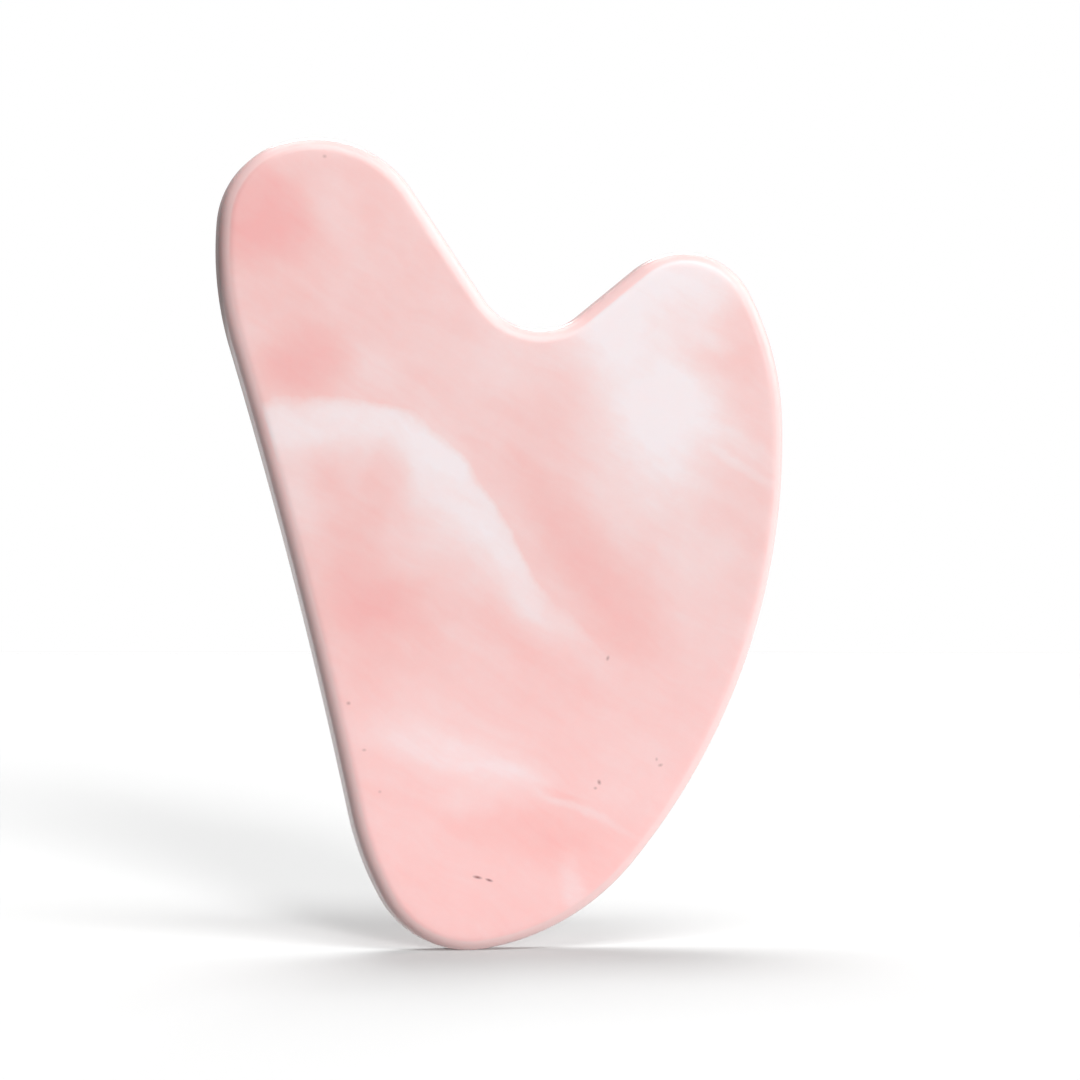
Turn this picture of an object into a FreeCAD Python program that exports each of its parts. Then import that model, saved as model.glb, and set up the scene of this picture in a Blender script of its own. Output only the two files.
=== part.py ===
import FreeCAD, Part
import math
import os
import Sketcher

# Heart-shaped gua sha scraper: one flat plate of polished rose quartz, rounded all along its rim.
#
# Millimetres. +Z runs along the plate's length, from the narrow tip up to the two lobes. X runs across
# its width and Y through its thickness, and the front face looks towards -Y. The origin is the middle
# of the bottom of the plate's bounding box, so the tip stands on Z = 0.

doc = FreeCAD.newDocument("gua_sha_scraper")

# --- Driving dimensions ---------------------------------------------------------------------------
# The outline is a closed chain of arcs and two straight flanks, each tangent to the next. A centre's
# "across" is its X and its "height" is its Z.

SIZES = [
    ("length", 82.0, "tip to the top of the tall lobe"),
    ("width", 58.5, "left edge to the widest point of the belly"),
    ("thickness", 5.0, "front face to back face"),
    ("rim_radius", 1.4, "rounding between each face and the rim"),
    ("tip_radius", 10.0, "narrow tip that the plate ends in"),
    ("tip_across", -3.6, "centre of the tip"),
    ("keel_radius", 25.0, "from the tip into the belly"),
    ("belly_radius", 67.0, "long convex working edge"),
    ("belly_height", 52.0, "height of the plate's widest point"),
    ("hip_radius", 29.0, "from the belly into the short lobe"),
    ("short_lobe_radius", 7.8, "rounded end of the short lobe"),
    ("short_lobe_across", 18.9, "centre of the short lobe"),
    ("short_lobe_top", 71.2, "height of the short lobe"),
    ("notch_radius", 7.0, "hollow between the lobes, for the jaw line"),
    ("notch_across", 3.6, "centre of the notch"),
    ("notch_floor", 63.0, "height of the lowest point of the notch"),
    ("tall_lobe_radius", 11.7, "inner side and top of the tall lobe"),
    ("tall_lobe_across", -19.2, "centre of the tall lobe's top"),
    ("shoulder_radius", 9.0, "outer shoulder of the tall lobe"),
    ("cheek_radius", 34.5, "outer side of the tall lobe"),
    ("cheek_height", 70.7, "height of the plate's leftmost point"),
    ("hollow_radius", 600.0, "long, slightly hollow edge for the cheek"),
    ("heel_radius", 31.5, "from the hollow edge into the tip"),
    ("heel_height", 20.6, "height of the heel arc's centre"),
]

sheet = doc.addObject("Spreadsheet::Sheet", "Sizes")
for row, (alias, value, meaning) in enumerate(SIZES, start=1):
    sheet.set(f"A{row}", alias.replace("_", " "))
    sheet.set(f"B{row}", str(value))
    sheet.set(f"C{row}", meaning)
    sheet.setAlias(f"B{row}", alias)
doc.recompute()


def size(alias):
    return float(getattr(sheet, alias))


# --- Geometry of arcs that meet tangentially ------------------------------------------------------
# An arc has a centre and a signed radius: positive where the plate bulges, negative where it is
# hollow. With n the outline's outward normal, each point of the arc is centre + radius * n, so one
# formula serves bulging and hollow arcs alike.


def blend_centre(before, after, radius, side):
    """Centre of the arc of this radius that is tangent to two others, left (1) or right (-1) of the way."""
    (start, start_radius), (end, end_radius) = before, after
    way = end - start
    to_start = abs(radius - start_radius)
    to_end = abs(radius - end_radius)
    along = (to_start**2 - to_end**2 + way.Length**2) / (2 * way.Length)
    away = math.sqrt(to_start**2 - along**2)
    forward = FreeCAD.Vector(way).normalize()
    left = FreeCAD.Vector(-forward.y, forward.x, 0)
    return start + forward * along + left * (side * away)


def meeting_point(before, after):
    """Where two tangent arcs touch: on the line through their centres."""
    (first, first_radius), (second, second_radius) = before, after
    normal = (first - second) * (1 / (second_radius - first_radius))
    return first + normal * first_radius


def flank_ends(before, after):
    """Both ends of the straight flank between a bulging arc and a hollow one."""
    (first, first_radius), (second, second_radius) = before, after
    way = second - first
    turn = math.acos((first_radius - second_radius) / way.Length)
    heading = math.atan2(way.y, way.x) - turn
    normal = FreeCAD.Vector(math.cos(heading), math.sin(heading), 0)
    return first + normal * first_radius, second + normal * second_radius


def point(across, height):
    return FreeCAD.Vector(across, height, 0)


# --- The outline's arcs, counter-clockwise from the tip -------------------------------------------

half_width = size("width") / 2
tip = (point(size("tip_across"), size("tip_radius")), size("tip_radius"))
belly = (point(half_width - size("belly_radius"), size("belly_height")), size("belly_radius"))
short_lobe = (
    point(size("short_lobe_across"), size("short_lobe_top") - size("short_lobe_radius")),
    size("short_lobe_radius"),
)
notch = (point(size("notch_across"), size("notch_floor") + size("notch_radius")), -size("notch_radius"))
tall_lobe = (
    point(size("tall_lobe_across"), size("length") - size("tall_lobe_radius")),
    size("tall_lobe_radius"),
)
cheek = (point(size("cheek_radius") - half_width, size("cheek_height")), size("cheek_radius"))

keel = (blend_centre(tip, belly, size("keel_radius"), -1), size("keel_radius"))
hip = (blend_centre(belly, short_lobe, size("hip_radius"), -1), size("hip_radius"))
shoulder = (blend_centre(tall_lobe, cheek, size("shoulder_radius"), 1), size("shoulder_radius"))

heel_drop = size("heel_height") - size("tip_radius")
heel_reach = math.sqrt((size("heel_radius") - size("tip_radius")) ** 2 - heel_drop**2)
heel = (point(size("tip_across") + heel_reach, size("heel_height")), size("heel_radius"))
hollow = (blend_centre(cheek, heel, -size("hollow_radius"), -1), -size("hollow_radius"))

OUTLINE = [
    ("tip", tip),
    ("keel", keel),
    ("belly", belly),
    ("hip", hip),
    ("short_lobe", short_lobe),
    ("short_flank", None),
    ("notch", notch),
    ("long_flank", None),
    ("tall_lobe", tall_lobe),
    ("shoulder", shoulder),
    ("cheek", cheek),
    ("hollow", hollow),
    ("heel", heel),
]

inner_flank = flank_ends(short_lobe, notch)
outer_flank = flank_ends(notch, tall_lobe)


def joint_after(index):
    """The point where one piece of the outline hands over to the next."""
    name, arc = OUTLINE[index]
    next_name, next_arc = OUTLINE[(index + 1) % len(OUTLINE)]
    if next_name == "short_flank":
        return inner_flank[0]
    if name == "short_flank":
        return inner_flank[1]
    if next_name == "long_flank":
        return outer_flank[0]
    if name == "long_flank":
        return outer_flank[1]
    return meeting_point(arc, next_arc)


# --- The stone: sketch, pad and rounded rim -------------------------------------------------------

body = doc.addObject("PartDesign::Body", "Scraper")
body.Label = "scraper_stone"
body.Placement = FreeCAD.Placement()
doc.recompute()

front_plane = next(plane for plane in body.Origin.OriginFeatures if plane.Role == "XZ_Plane")
sketch = body.newObject("Sketcher::SketchObject", "Outline")
sketch.AttachmentSupport = [(front_plane, "")]
sketch.MapMode = "FlatFace"
doc.recompute()

START, END, CENTRE = 1, 2, 3
UP = FreeCAD.Vector(0, 0, 1)
joints = [joint_after(index) for index in range(len(OUTLINE))]
entry = {}
leave = {}
for index, (name, arc) in enumerate(OUTLINE):
    begin = joints[index - 1]
    finish = joints[index]
    if arc is None:
        geometry = sketch.addGeometry(Part.LineSegment(begin, finish), False)
        entry[name] = (geometry, START)
        leave[name] = (geometry, END)
        continue
    centre, radius = arc
    if radius < 0:
        begin, finish = finish, begin
    first_angle = math.atan2(begin.y - centre.y, begin.x - centre.x)
    last_angle = math.atan2(finish.y - centre.y, finish.x - centre.x)
    circle = Part.Circle(centre, UP, abs(radius))
    geometry = sketch.addGeometry(Part.ArcOfCircle(circle, first_angle, last_angle), False)
    entry[name] = (geometry, START if radius > 0 else END)
    leave[name] = (geometry, END if radius > 0 else START)

names = [name for name, arc in OUTLINE]
for name, following in zip(names, names[1:] + names[:1]):
    sketch.addConstraint(Sketcher.Constraint("Tangent", *leave[name], *entry[following]))


def dimension(kind, label, target, value, expression):
    """A named dimension of the sketch, driven by the sheet."""
    number = sketch.addConstraint(Sketcher.Constraint(kind, *target, value))
    sketch.renameConstraint(number, label)
    sketch.setExpression(f"Constraints.{label}", expression)


for name, arc in OUTLINE:
    if arc is not None:
        dimension("Radius", f"{name}_radius", (entry[name][0],), abs(arc[1]), f"Sizes.{name}_radius")

ACROSS = {
    "tip": "Sizes.tip_across",
    "belly": "Sizes.width / 2 - Sizes.belly_radius",
    "short_lobe": "Sizes.short_lobe_across",
    "notch": "Sizes.notch_across",
    "tall_lobe": "Sizes.tall_lobe_across",
    "cheek": "Sizes.cheek_radius - Sizes.width / 2",
}
HEIGHT = {
    "tip": "Sizes.tip_radius",
    "belly": "Sizes.belly_height",
    "short_lobe": "Sizes.short_lobe_top - Sizes.short_lobe_radius",
    "notch": "Sizes.notch_floor + Sizes.notch_radius",
    "tall_lobe": "Sizes.length - Sizes.tall_lobe_radius",
    "cheek": "Sizes.cheek_height",
    "heel": "Sizes.heel_height",
}
centres = {name: arc[0] for name, arc in OUTLINE if arc is not None}
for name, expression in ACROSS.items():
    dimension("DistanceX", f"{name}_x", (entry[name][0], CENTRE), centres[name].x, expression)
for name, expression in HEIGHT.items():
    dimension("DistanceY", f"{name}_z", (entry[name][0], CENTRE), centres[name].y, expression)
doc.recompute()

pad = body.newObject("PartDesign::Pad", "Plate")
pad.Profile = sketch
pad.SideType = "Symmetric"
pad.setExpression("Length", "Sizes.thickness")
doc.recompute()

# Both faces meet the rim in one closed loop of edges each, and each loop gets the same rounding.
face_edges = [
    f"Edge{number}"
    for number, edge in enumerate(pad.Shape.Edges, start=1)
    if abs(edge.Vertexes[0].Y - edge.Vertexes[-1].Y) < 1e-6
]
rim = body.newObject("PartDesign::Fillet", "Rim")
rim.Base = (pad, face_edges)
rim.setExpression("Radius", "Sizes.rim_radius")
body.Tip = rim
doc.recompute()

# --- Check and export -----------------------------------------------------------------------------

for item in doc.Objects:
    if "Invalid" in item.State or "Error" in item.State:
        raise RuntimeError(f"{item.Name} failed: {item.State}")
if sketch.solve() != 0:
    raise RuntimeError("the outline's constraints do not solve")

parts = [body]
os.makedirs("parts", exist_ok=True)
for part in parts:
    shape = part.Shape
    if shape.isNull() or not shape.isValid() or len(shape.Solids) != 1:
        raise RuntimeError(f"{part.Label} is not one valid solid")
    shape.exportStep(f"parts/{part.Label}.step")
    box = shape.optimalBoundingBox()
    print(f"{part.Label}: {box.XLength:.2f} x {box.YLength:.2f} x {box.ZLength:.2f} mm")
    print(f"  X {box.XMin:.2f} to {box.XMax:.2f}, Z {box.ZMin:.2f} to {box.ZMax:.2f}, {shape.Volume:.0f} mm3")
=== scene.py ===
# %% [markdown]
# # A rose quartz gua sha scraper
#
# This scraper is one flat, heart-shaped stone. It is sawn from a slab of rose quartz, ground to its
# outline, rounded all along the rim and polished. Nothing is joined to it, so this lesson has one
# piece to model and most of the work goes into the stone's finish.
#
# The design model gives the frame: it says how big the stone is and where it stands. Everything
# below is in metres in that frame, with +Z up the stone's length and the front face towards -Y.

# %% Load the design model
import math

import bmesh
import bpy
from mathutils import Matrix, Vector


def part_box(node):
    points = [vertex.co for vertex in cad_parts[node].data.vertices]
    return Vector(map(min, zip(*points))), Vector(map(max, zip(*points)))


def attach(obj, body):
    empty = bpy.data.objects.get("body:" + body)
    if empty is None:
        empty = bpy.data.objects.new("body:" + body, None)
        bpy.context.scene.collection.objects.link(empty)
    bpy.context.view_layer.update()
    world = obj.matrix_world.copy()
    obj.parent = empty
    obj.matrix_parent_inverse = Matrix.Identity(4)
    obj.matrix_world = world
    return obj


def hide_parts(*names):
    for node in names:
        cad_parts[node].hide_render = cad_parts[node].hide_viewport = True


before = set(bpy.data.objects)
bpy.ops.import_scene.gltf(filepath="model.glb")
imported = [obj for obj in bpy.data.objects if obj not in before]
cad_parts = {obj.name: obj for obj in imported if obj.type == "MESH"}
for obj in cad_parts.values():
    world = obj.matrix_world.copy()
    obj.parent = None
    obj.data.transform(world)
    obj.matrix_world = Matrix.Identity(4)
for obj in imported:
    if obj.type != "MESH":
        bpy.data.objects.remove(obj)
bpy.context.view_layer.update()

MM = 0.001
STONE_NODE = "scraper_stone"
stone_low, stone_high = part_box(STONE_NODE)
print("stone, mm:", [round(side / MM, 2) for side in stone_high - stone_low])

# %% [markdown]
# ## The outline
#
# A stone cutter draws this heart with a compass: every stretch of the edge is part of a circle and
# each circle runs smoothly into the next. A Bezier curve could be pulled into the same shape, but
# then nothing says how round the notch is. Here each arc keeps its radius in millimetres, and the
# `spin` operator draws it by turning one point about the arc's centre.
#
# A radius is positive where the edge bulges and negative where it is hollow. With `n` pointing out
# of the stone, every point of an arc is then `centre + radius * n`, whichever way it curves.

# %% The compass points
LENGTH = 82.0
WIDTH = 58.5
THICKNESS = 5.0
RIM_RADIUS = 1.4


def arc(across, height, radius):
    """A circle of the outline: its centre in the plane of the stone and its signed radius."""
    return Vector((across, height)), radius


tip = arc(-3.6, 10.0, 10.0)
belly = arc(WIDTH / 2 - 67.0, 52.0, 67.0)
short_lobe = arc(18.9, 71.2 - 7.8, 7.8)
notch = arc(3.6, 63.0 + 7.0, -7.0)
tall_lobe = arc(-19.2, LENGTH - 11.7, 11.7)
cheek = arc(34.5 - WIDTH / 2, 70.7, 34.5)

# The heel also touches the tip, so its centre is 31.5 - 10 from the tip's and 20.6 - 10 higher.
HEEL_DROP = 20.6 - 10.0
HEEL_REACH = math.sqrt((31.5 - 10.0) ** 2 - HEEL_DROP**2)
heel = arc(-3.6 + HEEL_REACH, 20.6, 31.5)


# %% Arcs that only have to touch their neighbours
def blend(before, after, radius, side):
    """The arc of this radius that touches two others, left (1) or right (-1) of the line between them."""
    (start, start_radius), (end, end_radius) = before, after
    to_start = abs(radius - start_radius)
    to_end = abs(radius - end_radius)
    way = end - start
    along = (to_start**2 - to_end**2 + way.length**2) / (2 * way.length)
    away = math.sqrt(to_start**2 - along**2)
    forward = way.normalized()
    left = Vector((-forward.y, forward.x))
    return start + forward * along + left * (side * away), radius


keel = blend(tip, belly, 25.0, -1)
hip = blend(belly, short_lobe, 29.0, -1)
shoulder = blend(tall_lobe, cheek, 9.0, 1)
hollow = blend(cheek, heel, -600.0, -1)
print("keel centre, mm:", [round(value, 2) for value in keel[0]])


# %% Where one arc hands over to the next
def shared_normal(before, after):
    """Angle of the outward normal where two arcs touch, or at both ends of the flank between them."""
    (first, first_radius), (second, second_radius) = before, after
    way = second - first
    if abs(way.length - abs(second_radius - first_radius)) < 1e-3:
        normal = (first - second) / (second_radius - first_radius)
        return math.atan2(normal.y, normal.x)
    return math.atan2(way.y, way.x) - math.acos((first_radius - second_radius) / way.length)


ARCS = [tip, keel, belly, hip, short_lobe, notch, tall_lobe, shoulder, cheek, hollow, heel]
handovers = [shared_normal(first, second) for first, second in zip(ARCS, ARCS[1:] + ARCS[:1])]
print("normals at the handovers, degrees:", [round(math.degrees(angle), 1) for angle in handovers])

# %% [markdown]
# ## From one point to a plate
#
# The point starts where the heel meets the tip. Each arc is one `spin`, whose steps are short enough
# that the edge looks round at any distance, and where two arcs don't touch, the point is extruded
# straight across the gap. The closed loop is filled, the face is extruded through the stone's
# thickness, and `bevel` rounds both edges of the rim, as the grinding wheel does.

# %% Draw the loop
STEP = 0.6
FINEST_TURN = math.radians(3)
SAME_POINT = 0.02

plate = bmesh.new()


def on_arc(centre, radius, angle):
    """The point of an arc where the outward normal has this angle, in the stone's front plane."""
    across, height = centre + radius * Vector((math.cos(angle), math.sin(angle)))
    return Vector((across, -THICKNESS / 2, height))


pen = bmesh.ops.create_vert(plate, co=on_arc(*tip, handovers[-1]))["vert"][0]
for index, (centre, radius) in enumerate(ARCS):
    entry = handovers[index - 1]
    start = on_arc(centre, radius, entry)
    if (start - pen.co).length > STEP:
        flank = bmesh.ops.extrude_vert_indiv(plate, verts=[pen])
        pen = flank["verts"][0]
        pen.co = start
    turn = math.remainder(handovers[index] - entry, math.tau)
    steps = math.ceil(max(abs(turn * radius) / STEP, abs(turn) / FINEST_TURN))
    sweep = bmesh.ops.spin(
        plate,
        geom=[pen],
        cent=(centre.x, 0, centre.y),
        axis=(0, -1, 0),
        angle=turn,
        steps=steps,
        use_merge=False,
    )
    pen = next(item for item in sweep["geom_last"] if isinstance(item, bmesh.types.BMVert))

bmesh.ops.remove_doubles(plate, verts=plate.verts, dist=SAME_POINT)
print("points round the outline:", len(plate.verts), "edges:", len(plate.edges))

# %% Fill it and give it its thickness
# The inset leaves a narrow flat ring inside the rim, where the smooth shading of the round part ends.
RIM_SEGMENTS = 10
HOLDING_EDGE = 0.3

face = bmesh.ops.contextual_create(plate, geom=plate.edges[:])["faces"][0]
back = bmesh.ops.extrude_face_region(plate, geom=[face], use_keep_orig=True)
back_verts = [item for item in back["geom"] if isinstance(item, bmesh.types.BMVert)]
bmesh.ops.translate(plate, verts=back_verts, vec=(0, THICKNESS, 0))
bmesh.ops.recalc_face_normals(plate, faces=plate.faces)
rim_edges = [edge for edge in plate.edges if abs(edge.verts[0].co.y - edge.verts[1].co.y) < 1e-6]
bmesh.ops.bevel(
    plate,
    geom=rim_edges,
    offset=RIM_RADIUS,
    offset_type="OFFSET",
    segments=RIM_SEGMENTS,
    profile=0.5,
    affect="EDGES",
    clamp_overlap=False,
    material=-1,
)
caps = [polygon for polygon in plate.faces if len(polygon.verts) > 8]
bmesh.ops.inset_region(plate, faces=caps, thickness=HOLDING_EDGE, use_even_offset=True)
print("faces of the plate:", len(plate.faces))

# %% Rule both faces into squares
# A face with hundreds of corners falls apart into long splinters when it is exported as triangles.
# Cutting both faces along ruled lines leaves even squares, and doesn't touch the rim.
GRID = 3.0
SNAP = 0.01
RULINGS = [
    (-WIDTH / 2, WIDTH / 2, Vector((1, 0, 0))),
    (0.0, LENGTH, Vector((0, 0, 1))),
]
ruled = list(caps)
for cap in caps:
    ruled += [*cap.edges, *cap.verts]
for start, end, normal in RULINGS:
    lines = round((end - start) / GRID)
    for line in range(1, lines):
        where = normal * (start + (end - start) * line / lines)
        ruled = bmesh.ops.bisect_plane(
            plate,
            geom=ruled,
            dist=SNAP,
            plane_co=where,
            plane_no=normal,
            clear_outer=False,
            clear_inner=False,
        )["geom"]
open_edges = [edge for edge in plate.edges if len(edge.link_faces) != 2]
print("faces with the squares:", len(plate.faces), "open edges:", len(open_edges))

# %% Put it where the design model stands
lowest = Vector([min(vert.co[axis] for vert in plate.verts) for axis in range(3)])
highest = Vector([max(vert.co[axis] for vert in plate.verts) for axis in range(3)])
for axis in range(3):
    grow = (stone_high[axis] - stone_low[axis]) / (highest[axis] - lowest[axis])
    for vert in plate.verts:
        vert.co[axis] = stone_low[axis] + (vert.co[axis] - lowest[axis]) * grow
for polygon in plate.faces:
    polygon.smooth = True

stone_mesh = bpy.data.meshes.new("rose_quartz_plate")
plate.to_mesh(stone_mesh)
plate.free()
stone = bpy.data.objects.new("rose_quartz_plate", stone_mesh)
bpy.context.scene.collection.objects.link(stone)
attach(stone, "root")
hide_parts(STONE_NODE)

# %% [markdown]
# ## Rose quartz
#
# Rose quartz is a pale pink stone full of milky clouds: water left behind in it as tiny bubbles, and
# cracks that healed while it grew. Its pink deepens where there is less of that milk. So the colour
# here is one measure, the milkiness at each point, and one ramp from deep rose to milky white.
#
# The pattern is solid: it is worked out in millimetres from Object coordinates and leans a little
# through the slab, so the back shows the same veins shifted sideways, as on a sawn stone.


# %% Colours and nodes
def srgb(code):
    """A hex colour as the linear values that a shader socket takes."""
    channels = [int(code[place : place + 2], 16) / 255 for place in (1, 3, 5)]
    linear = [value / 12.92 if value <= 0.04045 else ((value + 0.055) / 1.055) ** 2.4 for value in channels]
    return (*linear, 1.0)


def add_node(tree, kind, links=None, inputs=None, **settings):
    """Adds a node, sets its properties and socket values, and links outputs of other nodes to its inputs."""
    node = tree.nodes.new(kind)
    for name, value in settings.items():
        setattr(node, name, value)
    for socket, value in (inputs or {}).items():
        node.inputs[socket].default_value = value
    for socket, output in (links or {}).items():
        tree.links.new(output, node.inputs[socket])
    return node


quartz = bpy.data.materials.new("polished_rose_quartz")
quartz.use_nodes = True
stone_tree = quartz.node_tree
shader = stone_tree.nodes["Principled BSDF"]
stone_mesh.materials.append(quartz)

# %% Millimetres inside the slab
SLANT_ACROSS = 0.8
SLANT_UP = -0.5

place = add_node(stone_tree, "ShaderNodeTexCoord")
millimetres = add_node(
    stone_tree,
    "ShaderNodeVectorMath",
    operation="MULTIPLY",
    links={0: place.outputs["Object"]},
    inputs={1: (1 / MM, 1 / MM, 1 / MM)},
)
in_slab = add_node(stone_tree, "ShaderNodeSeparateXYZ", links={0: millimetres.outputs[0]})
depth = add_node(
    stone_tree,
    "ShaderNodeMath",
    operation="ADD",
    links={0: in_slab.outputs["Y"]},
    inputs={1: THICKNESS / 2},
)
leaning = add_node(
    stone_tree,
    "ShaderNodeVectorMath",
    operation="MULTIPLY_ADD",
    links={0: depth.outputs[0], 2: millimetres.outputs[0]},
    inputs={1: (SLANT_ACROSS, 0, SLANT_UP)},
)

# %% [markdown]
# ### Folds and feathering
#
# Clouds in a stone have no ruled outlines. Two noises push every point sideways before any cloud is
# placed: broad folds some 14 mm long, and a feathering of about 2 mm that frays the edges.

# %% Push the points about
FOLD_LENGTH = 14.0
FOLD_PUSH = 5.0
FEATHER_LENGTH = 2.4
FEATHER_PUSH = 1.2
MEAN_PUSH = (FOLD_PUSH + FEATHER_PUSH) / 2

folds = add_node(
    stone_tree,
    "ShaderNodeTexNoise",
    links={"Vector": leaning.outputs[0]},
    inputs={"Scale": 1 / FOLD_LENGTH, "Detail": 2.0, "Roughness": 0.5},
)
folded = add_node(
    stone_tree,
    "ShaderNodeVectorMath",
    operation="MULTIPLY_ADD",
    links={0: folds.outputs["Color"], 2: leaning.outputs[0]},
    inputs={1: (FOLD_PUSH, 0, FOLD_PUSH)},
)
feathers = add_node(
    stone_tree,
    "ShaderNodeTexNoise",
    links={"Vector": leaning.outputs[0]},
    inputs={"Scale": 1 / FEATHER_LENGTH, "Detail": 4.0, "Roughness": 0.6},
)
feathered = add_node(
    stone_tree,
    "ShaderNodeVectorMath",
    operation="MULTIPLY_ADD",
    links={0: feathers.outputs["Color"], 2: folded.outputs[0]},
    inputs={1: (FEATHER_PUSH, 0, FEATHER_PUSH)},
)
settled = add_node(
    stone_tree,
    "ShaderNodeVectorMath",
    operation="SUBTRACT",
    links={0: feathered.outputs[0]},
    inputs={1: (MEAN_PUSH, 0, MEAN_PUSH)},
)
bent = settled.outputs[0]

# %% [markdown]
# ### Milky clouds
#
# Each cloud is a soft ellipsoid: a Mapping node centres, turns and stretches the pattern space, a
# spherical gradient falls from 1 at the centre to 0 at the edge, and a smooth step rounds that cone
# off. The list gives a cloud's centre, its half width and half height, its tilt in degrees and how
# much milk it adds; a negative amount is a clear patch, where the pink is deeper. A brush painting
# an image would need a texture file, while this list scales with the stone.

# %% The clouds, in millimetres
CLOUDS = [
    # short lobe: one big bank with a denser heart, thinning out to the right
    (14.5, 59.0, 11.0, 14.0, 0, 0.42),
    (18.0, 53.5, 9.5, 8.0, -30, 0.31),
    (18.0, 70.0, 12.0, 7.0, -8, 0.44),
    (9.5, 64.5, 6.5, 7.0, 30, 0.34),
    (22.5, 64.0, 6.0, 5.0, 0, 0.12),
    (24.5, 51.2, 7.0, 1.7, -25, 0.14),
    (25.0, 48.4, 6.0, 1.2, -28, 0.18),
    (13.0, 46.5, 13.0, 8.0, 0, 0.18),
    (24.5, 62.5, 4.0, 7.0, 8, -0.14),
    (21.0, 59.8, 4.2, 2.0, -5, -0.12),
    # tall lobe
    (-26.0, 74.0, 8.0, 7.5, 0, -0.40),
    (-23.0, 68.0, 7.0, 7.5, 15, -0.14),
    (-20.3, 59.0, 6.5, 6.0, 0, -0.34),
    (-24.5, 58.0, 5.0, 4.0, 0, -0.06),
    (-17.0, 75.5, 12.0, 8.0, 20, -0.15),
    (-17.5, 75.0, 3.5, 6.0, 20, 0.16),
    (-14.0, 64.0, 7.0, 6.0, 15, -0.06),
    (-9.0, 70.0, 5.0, 4.5, 0, -0.06),
    (-13.0, 58.8, 3.2, 4.5, 10, 0.14),
    (0.0, 59.5, 8.0, 5.0, 0, 0.12),
    # clear bands on both sides of the main vein
    (6.3, 43.2, 10.5, 4.6, -55, -0.28),
    (12.5, 34.0, 9.0, 6.0, -50, -0.22),
    (4.0, 51.0, 6.0, 7.0, 0, -0.08),
    (1.0, 32.5, 7.0, 3.5, -40, -0.12),
    (17.0, 46.0, 6.0, 4.5, 0, 0.12),
    (-17.6, 46.0, 3.4, 6.5, 20, -0.15),
    (-12.8, 46.0, 3.0, 7.5, -15, -0.13),
    (-15.0, 36.5, 8.0, 10.0, -35, -0.26),
    (-11.5, 32.0, 9.5, 6.5, -25, -0.18),
    (-14.0, 27.0, 6.0, 4.0, 0, -0.10),
    (6.0, 27.5, 8.0, 5.0, -20, -0.10),
    (21.0, 34.0, 8.0, 10.0, 10, 0.06),
    (-6.5, 51.0, 6.0, 3.5, -50, 0.16),
    (-20.5, 45.5, 5.0, 4.5, 0, 0.16),
    (-10.5, 40.5, 7.0, 4.5, 0, 0.14),
    (20.0, 40.0, 6.0, 5.0, 0, 0.14),
    # streaks towards the tip
    (-3.0, 15.5, 6.0, 3.0, -15, 0.14),
    (-6.0, 20.5, 13.0, 3.6, -17, 0.26),
    (-8.5, 20.6, 8.0, 1.6, -17, 0.08),
    (-5.5, 23.0, 9.0, 2.8, -16, 0.10),
    (-9.0, 26.0, 6.0, 1.6, -20, 0.06),
    (1.0, 17.3, 7.5, 2.4, -18, 0.22),
    (8.5, 13.8, 7.5, 0.7, -18, 0.20),
    (5.5, 15.6, 4.5, 0.7, -14, -0.14),
    (2.5, 11.5, 11.0, 4.5, -8, -0.18),
    (8.5, 9.5, 6.5, 5.0, 0, -0.04),
    (7.0, 6.0, 1.8, 5.5, 8, 0.24),
    (13.0, 17.5, 7.0, 6.0, 0, 0.08),
]
REST_MILK = 0.47
THROUGH_SLAB = 40.0
FULL_FROM = 0.8

milk = None
for across, up, half_width, half_height, tilt, amount in CLOUDS:
    centred = add_node(
        stone_tree,
        "ShaderNodeMapping",
        vector_type="TEXTURE",
        links={"Vector": bent},
        inputs={
            "Location": (across, 0, up),
            "Rotation": (0, -math.radians(tilt), 0),
            "Scale": (half_width, THROUGH_SLAB, half_height),
        },
    )
    falloff = add_node(
        stone_tree,
        "ShaderNodeTexGradient",
        gradient_type="SPHERICAL",
        links={"Vector": centred.outputs[0]},
    )
    softened = add_node(
        stone_tree,
        "ShaderNodeMapRange",
        interpolation_type="SMOOTHSTEP",
        links={"Value": falloff.outputs["Fac"]},
        inputs={"From Min": 0.0, "From Max": FULL_FROM},
    )
    added = add_node(
        stone_tree,
        "ShaderNodeMath",
        operation="MULTIPLY_ADD",
        links={0: softened.outputs["Result"]},
        inputs={1: amount, 2: REST_MILK},
    )
    if milk:
        stone_tree.links.new(milk.outputs[0], added.inputs[2])
    milk = added
print("clouds:", len(CLOUDS))

# %% [markdown]
# ### The main vein
#
# One bright vein crosses the stone from the left edge and bends down towards the middle. It grew
# along a crack: crisp on its upper side, where the crack was, and fading out below. An ellipsoid
# can't be crisp on one side only, so three curves, given point by point, draw it over the stone's
# width: where the upper side runs, how far down the milk reaches, and how dense it is.


# %% Three curves across the stone
# Each curve has the value that stands for 1 on it, and points of (millimetres across, value).
VEIN_CURVES = {
    "crack": (LENGTH, [
        (-29, 55.6), (-20, 55.4), (-14.5, 54.9), (-10, 54.4), (-6.5, 52.4), (-3, 48.4), (0, 43.8),
        (3, 38.6), (5.5, 35.8), (8, 33.4), (11, 29.5), (29, 12),
    ]),
    "reach": (16.0, [
        (-29, 9), (-22, 8.5), (-15, 7.5), (-11, 9), (-8, 14), (-5, 15), (-2, 13), (0, 11.5), (3, 9),
        (6, 8), (10, 7), (29, 7),
    ]),
    "density": (1.0, [
        (-29, 0.85), (-22, 0.85), (-14, 0.95), (-7, 1), (0, 0.95), (3, 0.75), (5.5, 0.48),
        (8, 0.32), (10.5, 0.16), (14, 0), (29, 0),
    ]),
}

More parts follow.
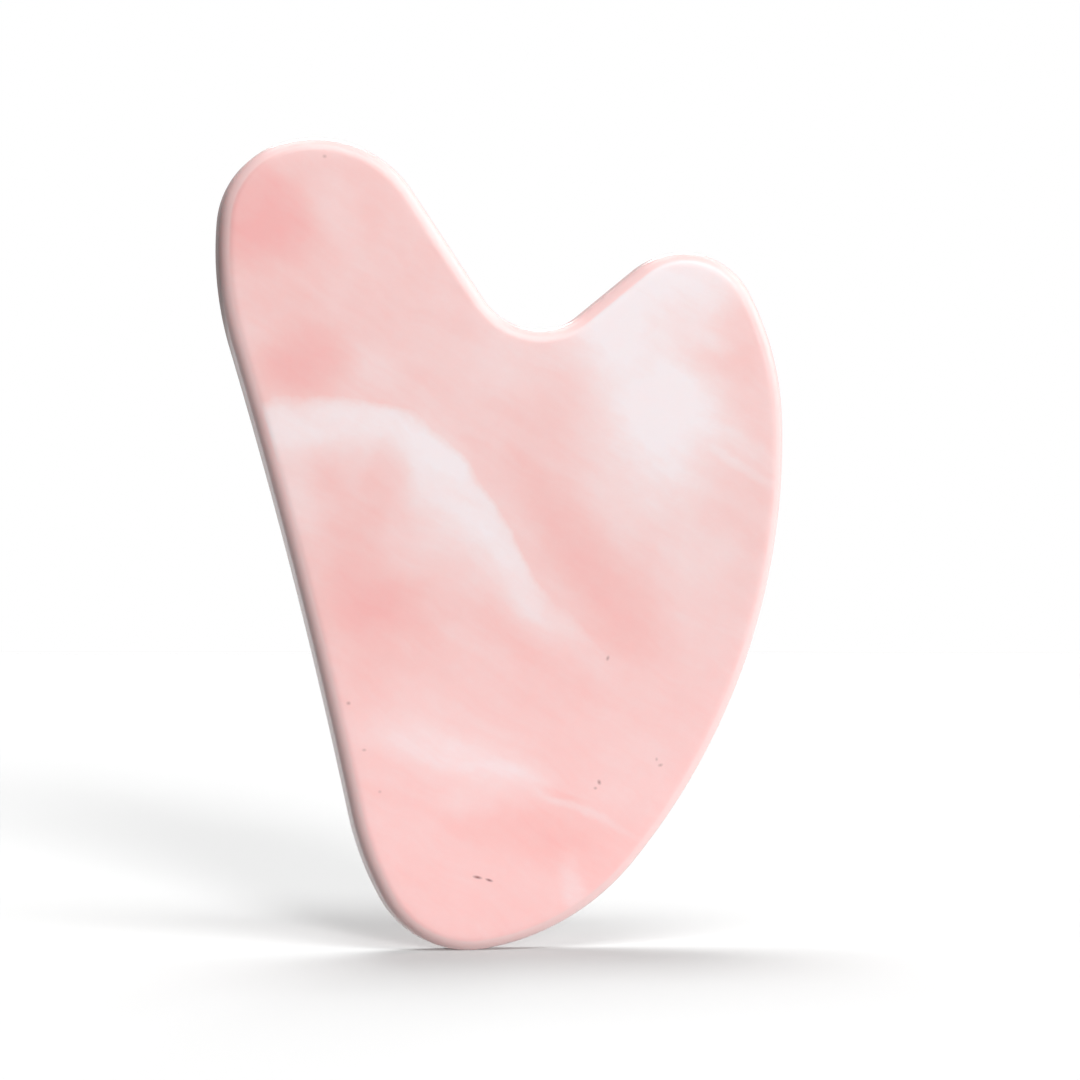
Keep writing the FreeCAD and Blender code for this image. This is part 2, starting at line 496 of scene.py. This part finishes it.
bent_parts = add_node(stone_tree, "ShaderNodeSeparateXYZ", links={0: bent})
across_share = add_node(
    stone_tree,
    "ShaderNodeMapRange",
    links={"Value": bent_parts.outputs["X"]},
    inputs={"From Min": -WIDTH / 2, "From Max": WIDTH / 2},
)
vein_part = {}
for name, (full, points) in VEIN_CURVES.items():
    curve = add_node(stone_tree, "ShaderNodeFloatCurve", links={"Value": across_share.outputs["Result"]})
    line = curve.mapping.curves[0]
    while len(line.points) < len(points):
        line.points.new(0.5, 0.5)
    for handle, (where, value) in zip(line.points, points):
        handle.location = (where / WIDTH + 0.5, value / full)
        handle.handle_type = "AUTO_CLAMPED"
    curve.mapping.extend = "HORIZONTAL"
    curve.mapping.update()
    vein_part[name] = add_node(
        stone_tree,
        "ShaderNodeMath",
        operation="MULTIPLY",
        links={0: curve.outputs["Value"]},
        inputs={1: full},
    )
print("vein curves:", list(vein_part))

# %% Crisp above, fading below
below = add_node(
    stone_tree,
    "ShaderNodeMath",
    operation="SUBTRACT",
    links={0: vein_part["crack"].outputs[0], 1: bent_parts.outputs["Z"]},
)
share = add_node(
    stone_tree,
    "ShaderNodeMath",
    operation="DIVIDE",
    links={0: below.outputs[0], 1: vein_part["reach"].outputs[0]},
)
profile = add_node(
    stone_tree,
    "ShaderNodeFloatCurve",
    links={"Value": share.outputs[0]},
)
side_view = profile.mapping.curves[0]
for where, value in [(0.05, 0.45), (0.18, 0.95), (0.35, 1.0), (0.6, 0.6), (0.8, 0.22)]:
    side_view.points.new(where, value)
side_view.points[0].location = (0.0, 0.0)
side_view.points[-1].location = (1.0, 0.0)
for handle in side_view.points:
    handle.handle_type = "AUTO_CLAMPED"
profile.mapping.extend = "HORIZONTAL"
profile.mapping.update()
vein = add_node(
    stone_tree,
    "ShaderNodeMath",
    operation="MULTIPLY",
    links={0: profile.outputs["Value"], 1: vein_part["density"].outputs[0]},
)

# %% [markdown]
# ### Wisps and mottle
#
# Inside the clouds the milk lies in wisps a millimetre or two thick that follow the cracks down to
# the right, and the whole stone is mottled by grains a few millimetres across.

# %% Wisps and mottle
WISP_TILT = math.radians(-32)
WISP_SIZE = (9.0, 4.0, 1.6)
GRAIN_SIZE = 2.8
VEIN_MILK = 0.46
WISP_MILK = 0.30
GRAIN_MILK = 0.22
MEAN_MOTTLE = (WISP_MILK + GRAIN_MILK) / 2

along_wisps = add_node(
    stone_tree,
    "ShaderNodeMapping",
    vector_type="TEXTURE",
    links={"Vector": bent},
    inputs={"Rotation": (0, -WISP_TILT, 0), "Scale": WISP_SIZE},
)
wisps = add_node(
    stone_tree,
    "ShaderNodeTexNoise",
    links={"Vector": along_wisps.outputs[0]},
    inputs={"Scale": 1.0, "Detail": 3.0, "Roughness": 0.6},
)
grains = add_node(
    stone_tree,
    "ShaderNodeTexNoise",
    links={"Vector": leaning.outputs[0]},
    inputs={"Scale": 1 / GRAIN_SIZE, "Detail": 5.0, "Roughness": 0.68},
)
with_vein = add_node(
    stone_tree,
    "ShaderNodeMath",
    operation="MULTIPLY_ADD",
    links={0: vein.outputs[0], 2: milk.outputs[0]},
    inputs={1: VEIN_MILK},
)
with_wisps = add_node(
    stone_tree,
    "ShaderNodeMath",
    operation="MULTIPLY_ADD",
    links={0: wisps.outputs["Fac"], 2: with_vein.outputs[0]},
    inputs={1: WISP_MILK},
)
with_grains = add_node(
    stone_tree,
    "ShaderNodeMath",
    operation="MULTIPLY_ADD",
    links={0: grains.outputs["Fac"], 2: with_wisps.outputs[0]},
    inputs={1: GRAIN_MILK},
)
milkiness = add_node(
    stone_tree,
    "ShaderNodeMath",
    operation="SUBTRACT",
    links={0: with_grains.outputs[0]},
    inputs={1: MEAN_MOTTLE},
)

# %% From milk to colour
MILK_COLOURS = [
    (0.0, "#fcb0ae"),
    (0.3, "#fcc0bd"),
    (0.5, "#fccac8"),
    (0.7, "#fcd4d3"),
    (0.9, "#fcdfe0"),
    (1.0, "#fce3e5"),
]
tint = add_node(stone_tree, "ShaderNodeValToRGB", links={"Fac": milkiness.outputs[0]})
stops = tint.color_ramp.elements
stops[0].color = srgb(MILK_COLOURS[0][1])
stops[-1].color = srgb(MILK_COLOURS[-1][1])
for where, colour in MILK_COLOURS[1:-1]:
    stops.new(where).color = srgb(colour)
print("milk stops:", [round(stop.position, 2) for stop in stops])

# %% Painted shade towards the lobes
# Painted shade: red is taken out of the colour from the tip up to the lobes, so the top of the stone looks
# dimmer than its foot, as a low light would leave it.
UNSHADED_UP_TO = 5.0
FULL_SHADE_FROM = 45.0
PAINTED_SHADE_TINT = (0.885, 1.0, 1.0, 1.0)

painted_shade_ramp = add_node(
    stone_tree,
    "ShaderNodeMapRange",
    interpolation_type="SMOOTHSTEP",
    links={"Value": in_slab.outputs["Z"]},
    inputs={"From Min": UNSHADED_UP_TO, "From Max": FULL_SHADE_FROM},
)
painted_shade_mix = add_node(
    stone_tree,
    "ShaderNodeMix",
    data_type="RGBA",
    blend_type="MULTIPLY",
    links={"Factor": painted_shade_ramp.outputs["Result"], 6: tint.outputs["Color"]},
    inputs={7: PAINTED_SHADE_TINT},
)

# %% [markdown]
# ### Specks
#
# A few specks of iron oxide sit just under the front face. They are tiny flat ellipsoids, so they
# don't go through to the back.

# %% Specks
IRON_OXIDE = "#8c4f4e"
SPECK_DEPTH = 1.0
SPECKS = [
    (-3.0, 7.4, 0.6, 0.2, -12, 0.5),
    (-1.8, 7.1, 0.5, 0.18, -18, 0.5),
    (9.6, 16.9, 0.25, 0.35, 20, 0.35),
    (9.2, 16.3, 0.25, 0.2, 0, 0.25),
    (16.0, 18.6, 0.35, 0.22, 15, 0.25),
    (15.6, 19.2, 0.2, 0.25, 0, 0.2),
    (10.5, 29.5, 0.22, 0.35, -20, 0.3),
    (-18.7, 80.0, 0.3, 0.25, 0, 0.2),
    (-16.2, 25.0, 0.3, 0.25, 0, 0.25),
    (-14.6, 20.3, 0.3, 0.2, 0, 0.2),
    (-13.0, 16.1, 0.25, 0.2, 0, 0.15),
]
speck_mask = None
for across, up, half_width, half_height, tilt, amount in SPECKS:
    centred = add_node(
        stone_tree,
        "ShaderNodeMapping",
        vector_type="TEXTURE",
        links={"Vector": millimetres.outputs[0]},
        inputs={
            "Location": (across, -THICKNESS / 2, up),
            "Rotation": (0, -math.radians(tilt), 0),
            "Scale": (half_width, SPECK_DEPTH, half_height),
        },
    )
    falloff = add_node(
        stone_tree,
        "ShaderNodeTexGradient",
        gradient_type="SPHERICAL",
        links={"Vector": centred.outputs[0]},
    )
    added = add_node(
        stone_tree,
        "ShaderNodeMath",
        operation="MULTIPLY_ADD",
        use_clamp=True,
        links={0: falloff.outputs["Fac"]},
        inputs={1: amount * 2, 2: 0.0},
    )
    if speck_mask:
        stone_tree.links.new(speck_mask.outputs[0], added.inputs[2])
    speck_mask = added
specked = add_node(
    stone_tree,
    "ShaderNodeMix",
    data_type="RGBA",
    links={"Factor": speck_mask.outputs[0], 6: painted_shade_mix.outputs[2]},
    inputs={7: srgb(IRON_OXIDE)},
)

# %% [markdown]
# ### The rim
#
# The rim is ground round and polished across the layers of the stone, and light comes through it
# from the side. It shows no veins, only a plain paler pink, from just inside the rounding outwards.

# %% Plain rim
# Both depths are in millimetres below the flat face.
RIM_PINK = "#f6d0ce"
RIM_STARTS = 0.02
RIM_FULL = 0.12

off_middle = add_node(stone_tree, "ShaderNodeMath", operation="ABSOLUTE", links={0: in_slab.outputs["Y"]})
on_face = add_node(
    stone_tree,
    "ShaderNodeMapRange",
    interpolation_type="SMOOTHSTEP",
    links={"Value": off_middle.outputs[0]},
    inputs={"From Min": THICKNESS / 2 - RIM_FULL, "From Max": THICKNESS / 2 - RIM_STARTS},
)
stone_colour = add_node(
    stone_tree,
    "ShaderNodeMix",
    data_type="RGBA",
    links={"Factor": on_face.outputs["Result"], 7: specked.outputs[2]},
    inputs={6: srgb(RIM_PINK)},
)
stone_tree.links.new(stone_colour.outputs[2], shader.inputs["Base Color"])

# %% [markdown]
# ### Polish
#
# Quartz bends light by 1.544, which gives its gloss, and light goes a millimetre or two into it and
# comes out red first, which takes the hardness out of the shading. A tumbled and buffed stone isn't a
# mirror: fine scratches spread the highlight, and softer, milky zones polish a little less than clear
# ones. Real buffing marks are about 0.05 mm apart, far too fine to show, so the ripple that stands for
# them is drawn 1.5 mm wide and only 0.02 mm high.

# %% Polish
QUARTZ_IOR = 1.544
GLOW_DEPTH = 1.5 * MM
CLEAR_ROUGHNESS = 0.19
MILKY_ROUGHNESS = 0.26
RIPPLE_WIDTH = 1.5
RIPPLE_HEIGHT = 0.02 * MM

shader.inputs["IOR"].default_value = QUARTZ_IOR
shader.inputs["Subsurface Weight"].default_value = 0.25
shader.inputs["Subsurface Radius"].default_value = (1.0, 0.55, 0.5)
shader.inputs["Subsurface Scale"].default_value = GLOW_DEPTH
haze = add_node(
    stone_tree,
    "ShaderNodeMapRange",
    links={"Value": milkiness.outputs[0]},
    inputs={"To Min": CLEAR_ROUGHNESS, "To Max": MILKY_ROUGHNESS},
)
stone_tree.links.new(haze.outputs["Result"], shader.inputs["Roughness"])
buffing = add_node(
    stone_tree,
    "ShaderNodeTexNoise",
    links={"Vector": millimetres.outputs[0]},
    inputs={"Scale": 1 / RIPPLE_WIDTH, "Detail": 3.0, "Roughness": 0.5},
)
ripple = add_node(
    stone_tree,
    "ShaderNodeBump",
    links={"Height": buffing.outputs["Fac"]},
    inputs={"Strength": 0.15, "Distance": RIPPLE_HEIGHT},
)
stone_tree.links.new(ripple.outputs["Normal"], shader.inputs["Normal"])
print("nodes in the stone:", len(stone_tree.nodes))

# %% [markdown]
# ## Camera
#
# A product shot from a little left of straight on, and lower than the middle of the stone. A long
# lens keeps the outline free of perspective stretch, and the small turn to the left shows the
# thickness of the rim. `to_track_quat` aims a camera, which looks along its own -Z with +Y up.

# %% Camera
CAMERA_AT = Vector((-80.9, -402.5, 30.6)) * MM
CAMERA_AIM = Vector((3.45, -2.5, 41.5)) * MM
LENS = 134.3

camera_data = bpy.data.cameras.new("camera")
camera_data.sensor_width = 36.0
camera_data.lens = LENS
camera_data.clip_start = 0.01
camera_data.clip_end = 100.0
camera = bpy.data.objects.new("camera", camera_data)
bpy.context.scene.collection.objects.link(camera)
camera.location = CAMERA_AT
camera.rotation_euler = (CAMERA_AIM - CAMERA_AT).to_track_quat("-Z", "Y").to_euler()
bpy.context.scene.camera = camera
print("camera to stone, mm:", round((CAMERA_AIM - CAMERA_AT).length / MM))

# %% [markdown]
# ## Floor
#
# One big flat sheet of paper at the height of the tip, so large that its far edge is lost in the
# white of the room. It could curve up behind the stone like a studio sweep, but a flat one stays
# right from every side. Uncoated paper is rough and has no gloss, so it shows nothing but its shadow.
#
# The paper itself is grey, and its own suns bring it up to white. The dim light of the room then
# fills its shadow less than it would on white paper. Those suns are too strong for the stone, so the
# light they leave on the paper doesn't bounce up to it: `visible_diffuse` is off.

# %% Floor
FLOOR_REACH = 20.0
PAPER_GREY = "#a0a0a0"

floor = bmesh.new()
bmesh.ops.create_grid(floor, x_segments=1, y_segments=1, size=FLOOR_REACH)
floor_mesh = bpy.data.meshes.new("floor")
floor.to_mesh(floor_mesh)
floor.free()
floor_object = bpy.data.objects.new("floor", floor_mesh)
bpy.context.scene.collection.objects.link(floor_object)
paper = bpy.data.materials.new("uncoated_studio_paper")
paper.use_nodes = True
paper_shader = paper.node_tree.nodes["Principled BSDF"]
paper_shader.inputs["Base Color"].default_value = srgb(PAPER_GREY)
paper_shader.inputs["Roughness"].default_value = 0.9
paper_shader.inputs["Specular IOR Level"].default_value = 0.0
floor_mesh.materials.append(paper)
floor_object.location.z = stone_low.z
floor_object.visible_diffuse = False
print("floor height, mm:", round(floor_object.location.z / MM, 3))


# %% [markdown]
# ## Light
#
# The stone and the paper each have their own lights, as they would in a product studio where the
# floor is lit apart from the object. Light linking does this: a light whose receiver collection
# holds one object lights only that object, and the stone still casts its shadow in it. All of them are
# suns, because softboxes stand far away compared with the stone. A sun's angle is how wide the
# softbox looks from here, and it lights the whole floor evenly, which a small area light would not.


# %% Suns
def receivers(name, thing):
    """A collection that a light can be linked to, so that it lights only this thing."""
    collection = bpy.data.collections.new(name)
    collection.objects.link(thing)
    return collection


def sun(name, lights, turn, height, width, strength):
    """A soft light from far away: its turn from the front, its height and its width in degrees."""
    data = bpy.data.lights.new(name, "SUN")
    data.angle = math.radians(width)
    data.energy = strength * math.pi
    lamp = bpy.data.objects.new(name, data)
    bpy.context.scene.collection.objects.link(lamp)
    turn, height = math.radians(turn), math.radians(height)
    level = math.cos(height)
    towards = Vector((math.sin(turn) * level, -math.cos(turn) * level, math.sin(height)))
    lamp.rotation_euler = (-towards).to_track_quat("-Z", "Y").to_euler()
    lamp.light_linking.receiver_collection = lights


only_stone = receivers("lit_stone", stone)
only_paper = receivers("lit_paper", floor_object)

# %% The stone's suns
# Each has a name, its turn, height and width in degrees, and its strength.
STONE_SUNS = [
    ("face_fill", 24, 25, 42, 0.535),
    ("face_high", 0, 50, 30, 0.17),
    ("right_edge", 80, 30, 40, 0.31),
    ("back_edge", 170, 45, 30, 0.50),
    ("crown", -90, 82, 30, 0.24),
]
for name, turn, height, width, strength in STONE_SUNS:
    sun(name, only_stone, turn, height, width, strength)

# %% The paper's suns
# Low ones in front draw the long soft shadow behind the stone, and the steep ones the short shadow
# round its foot. The gain makes up for the paper's grey, so that open floor comes out just white.
PAPER_SUNS = [
    ("front_lowest", 0, 6, 8, 0.85),
    ("front_low", 0, 10, 10, 0.48),
    ("front_high", 3, 48, 28, 0.37),
    ("back_skimming", 160, 3, 5, 0.38),
    ("back_high", 172, 48, 28, 0.20),
    ("back_top", 180, 70, 28, 0.31),
]
PAPER_GAIN = 2.79
for name, turn, height, width, strength in PAPER_SUNS:
    sun(name, only_paper, turn, height, width, strength * PAPER_GAIN)
print("suns:", len(STONE_SUNS) + len(PAPER_SUNS))

# %% [markdown]
# ## Room
#
# The room is white to the camera and dimmer to the stone. Its left side is nearly black, like the
# black flag that a photographer stands beside a pale object so that its edge shows against a white
# background. From below, mostly on the right, the white table throws light back up.

# %% Room
FLAG_LIGHT = (0.02, 0.42)
TABLE_LIGHT = 0.55

world = bpy.data.worlds.new("studio")
world.use_nodes = True
bpy.context.scene.world = world
room = world.node_tree
background = room.nodes["Background"]
background.inputs["Color"].default_value = (1, 1, 1, 1)
direction = add_node(room, "ShaderNodeTexCoord")
axes = add_node(room, "ShaderNodeSeparateXYZ", links={0: direction.outputs["Generated"]})
away_from_flag = add_node(
    room,
    "ShaderNodeMath",
    operation="MULTIPLY_ADD",
    links={0: axes.outputs["Z"], 2: axes.outputs["X"]},
    inputs={1: 0.8},
)
flag = add_node(
    room,
    "ShaderNodeMapRange",
    links={"Value": away_from_flag.outputs[0]},
    inputs={"From Min": -0.9, "From Max": 0.4, "To Min": FLAG_LIGHT[0], "To Max": FLAG_LIGHT[1]},
)
under_right = add_node(
    room,
    "ShaderNodeMath",
    operation="MULTIPLY_ADD",
    links={0: axes.outputs["X"], 2: axes.outputs["Z"]},
    inputs={1: -0.6},
)
table = add_node(
    room,
    "ShaderNodeMapRange",
    links={"Value": under_right.outputs[0]},
    inputs={"From Min": -0.8, "From Max": -0.1, "To Min": TABLE_LIGHT, "To Max": 0.0},
)
glow = add_node(
    room,
    "ShaderNodeMath",
    operation="ADD",
    links={0: flag.outputs["Result"], 1: table.outputs["Result"]},
)
light_path = add_node(room, "ShaderNodeLightPath")
seen = add_node(
    room,
    "ShaderNodeMapRange",
    links={"Value": light_path.outputs["Is Camera Ray"], "To Min": glow.outputs[0]},
    inputs={"To Max": 1.0},
)
room.links.new(seen.outputs["Result"], background.inputs["Strength"])
bpy.context.scene.view_settings.view_transform = "Standard"
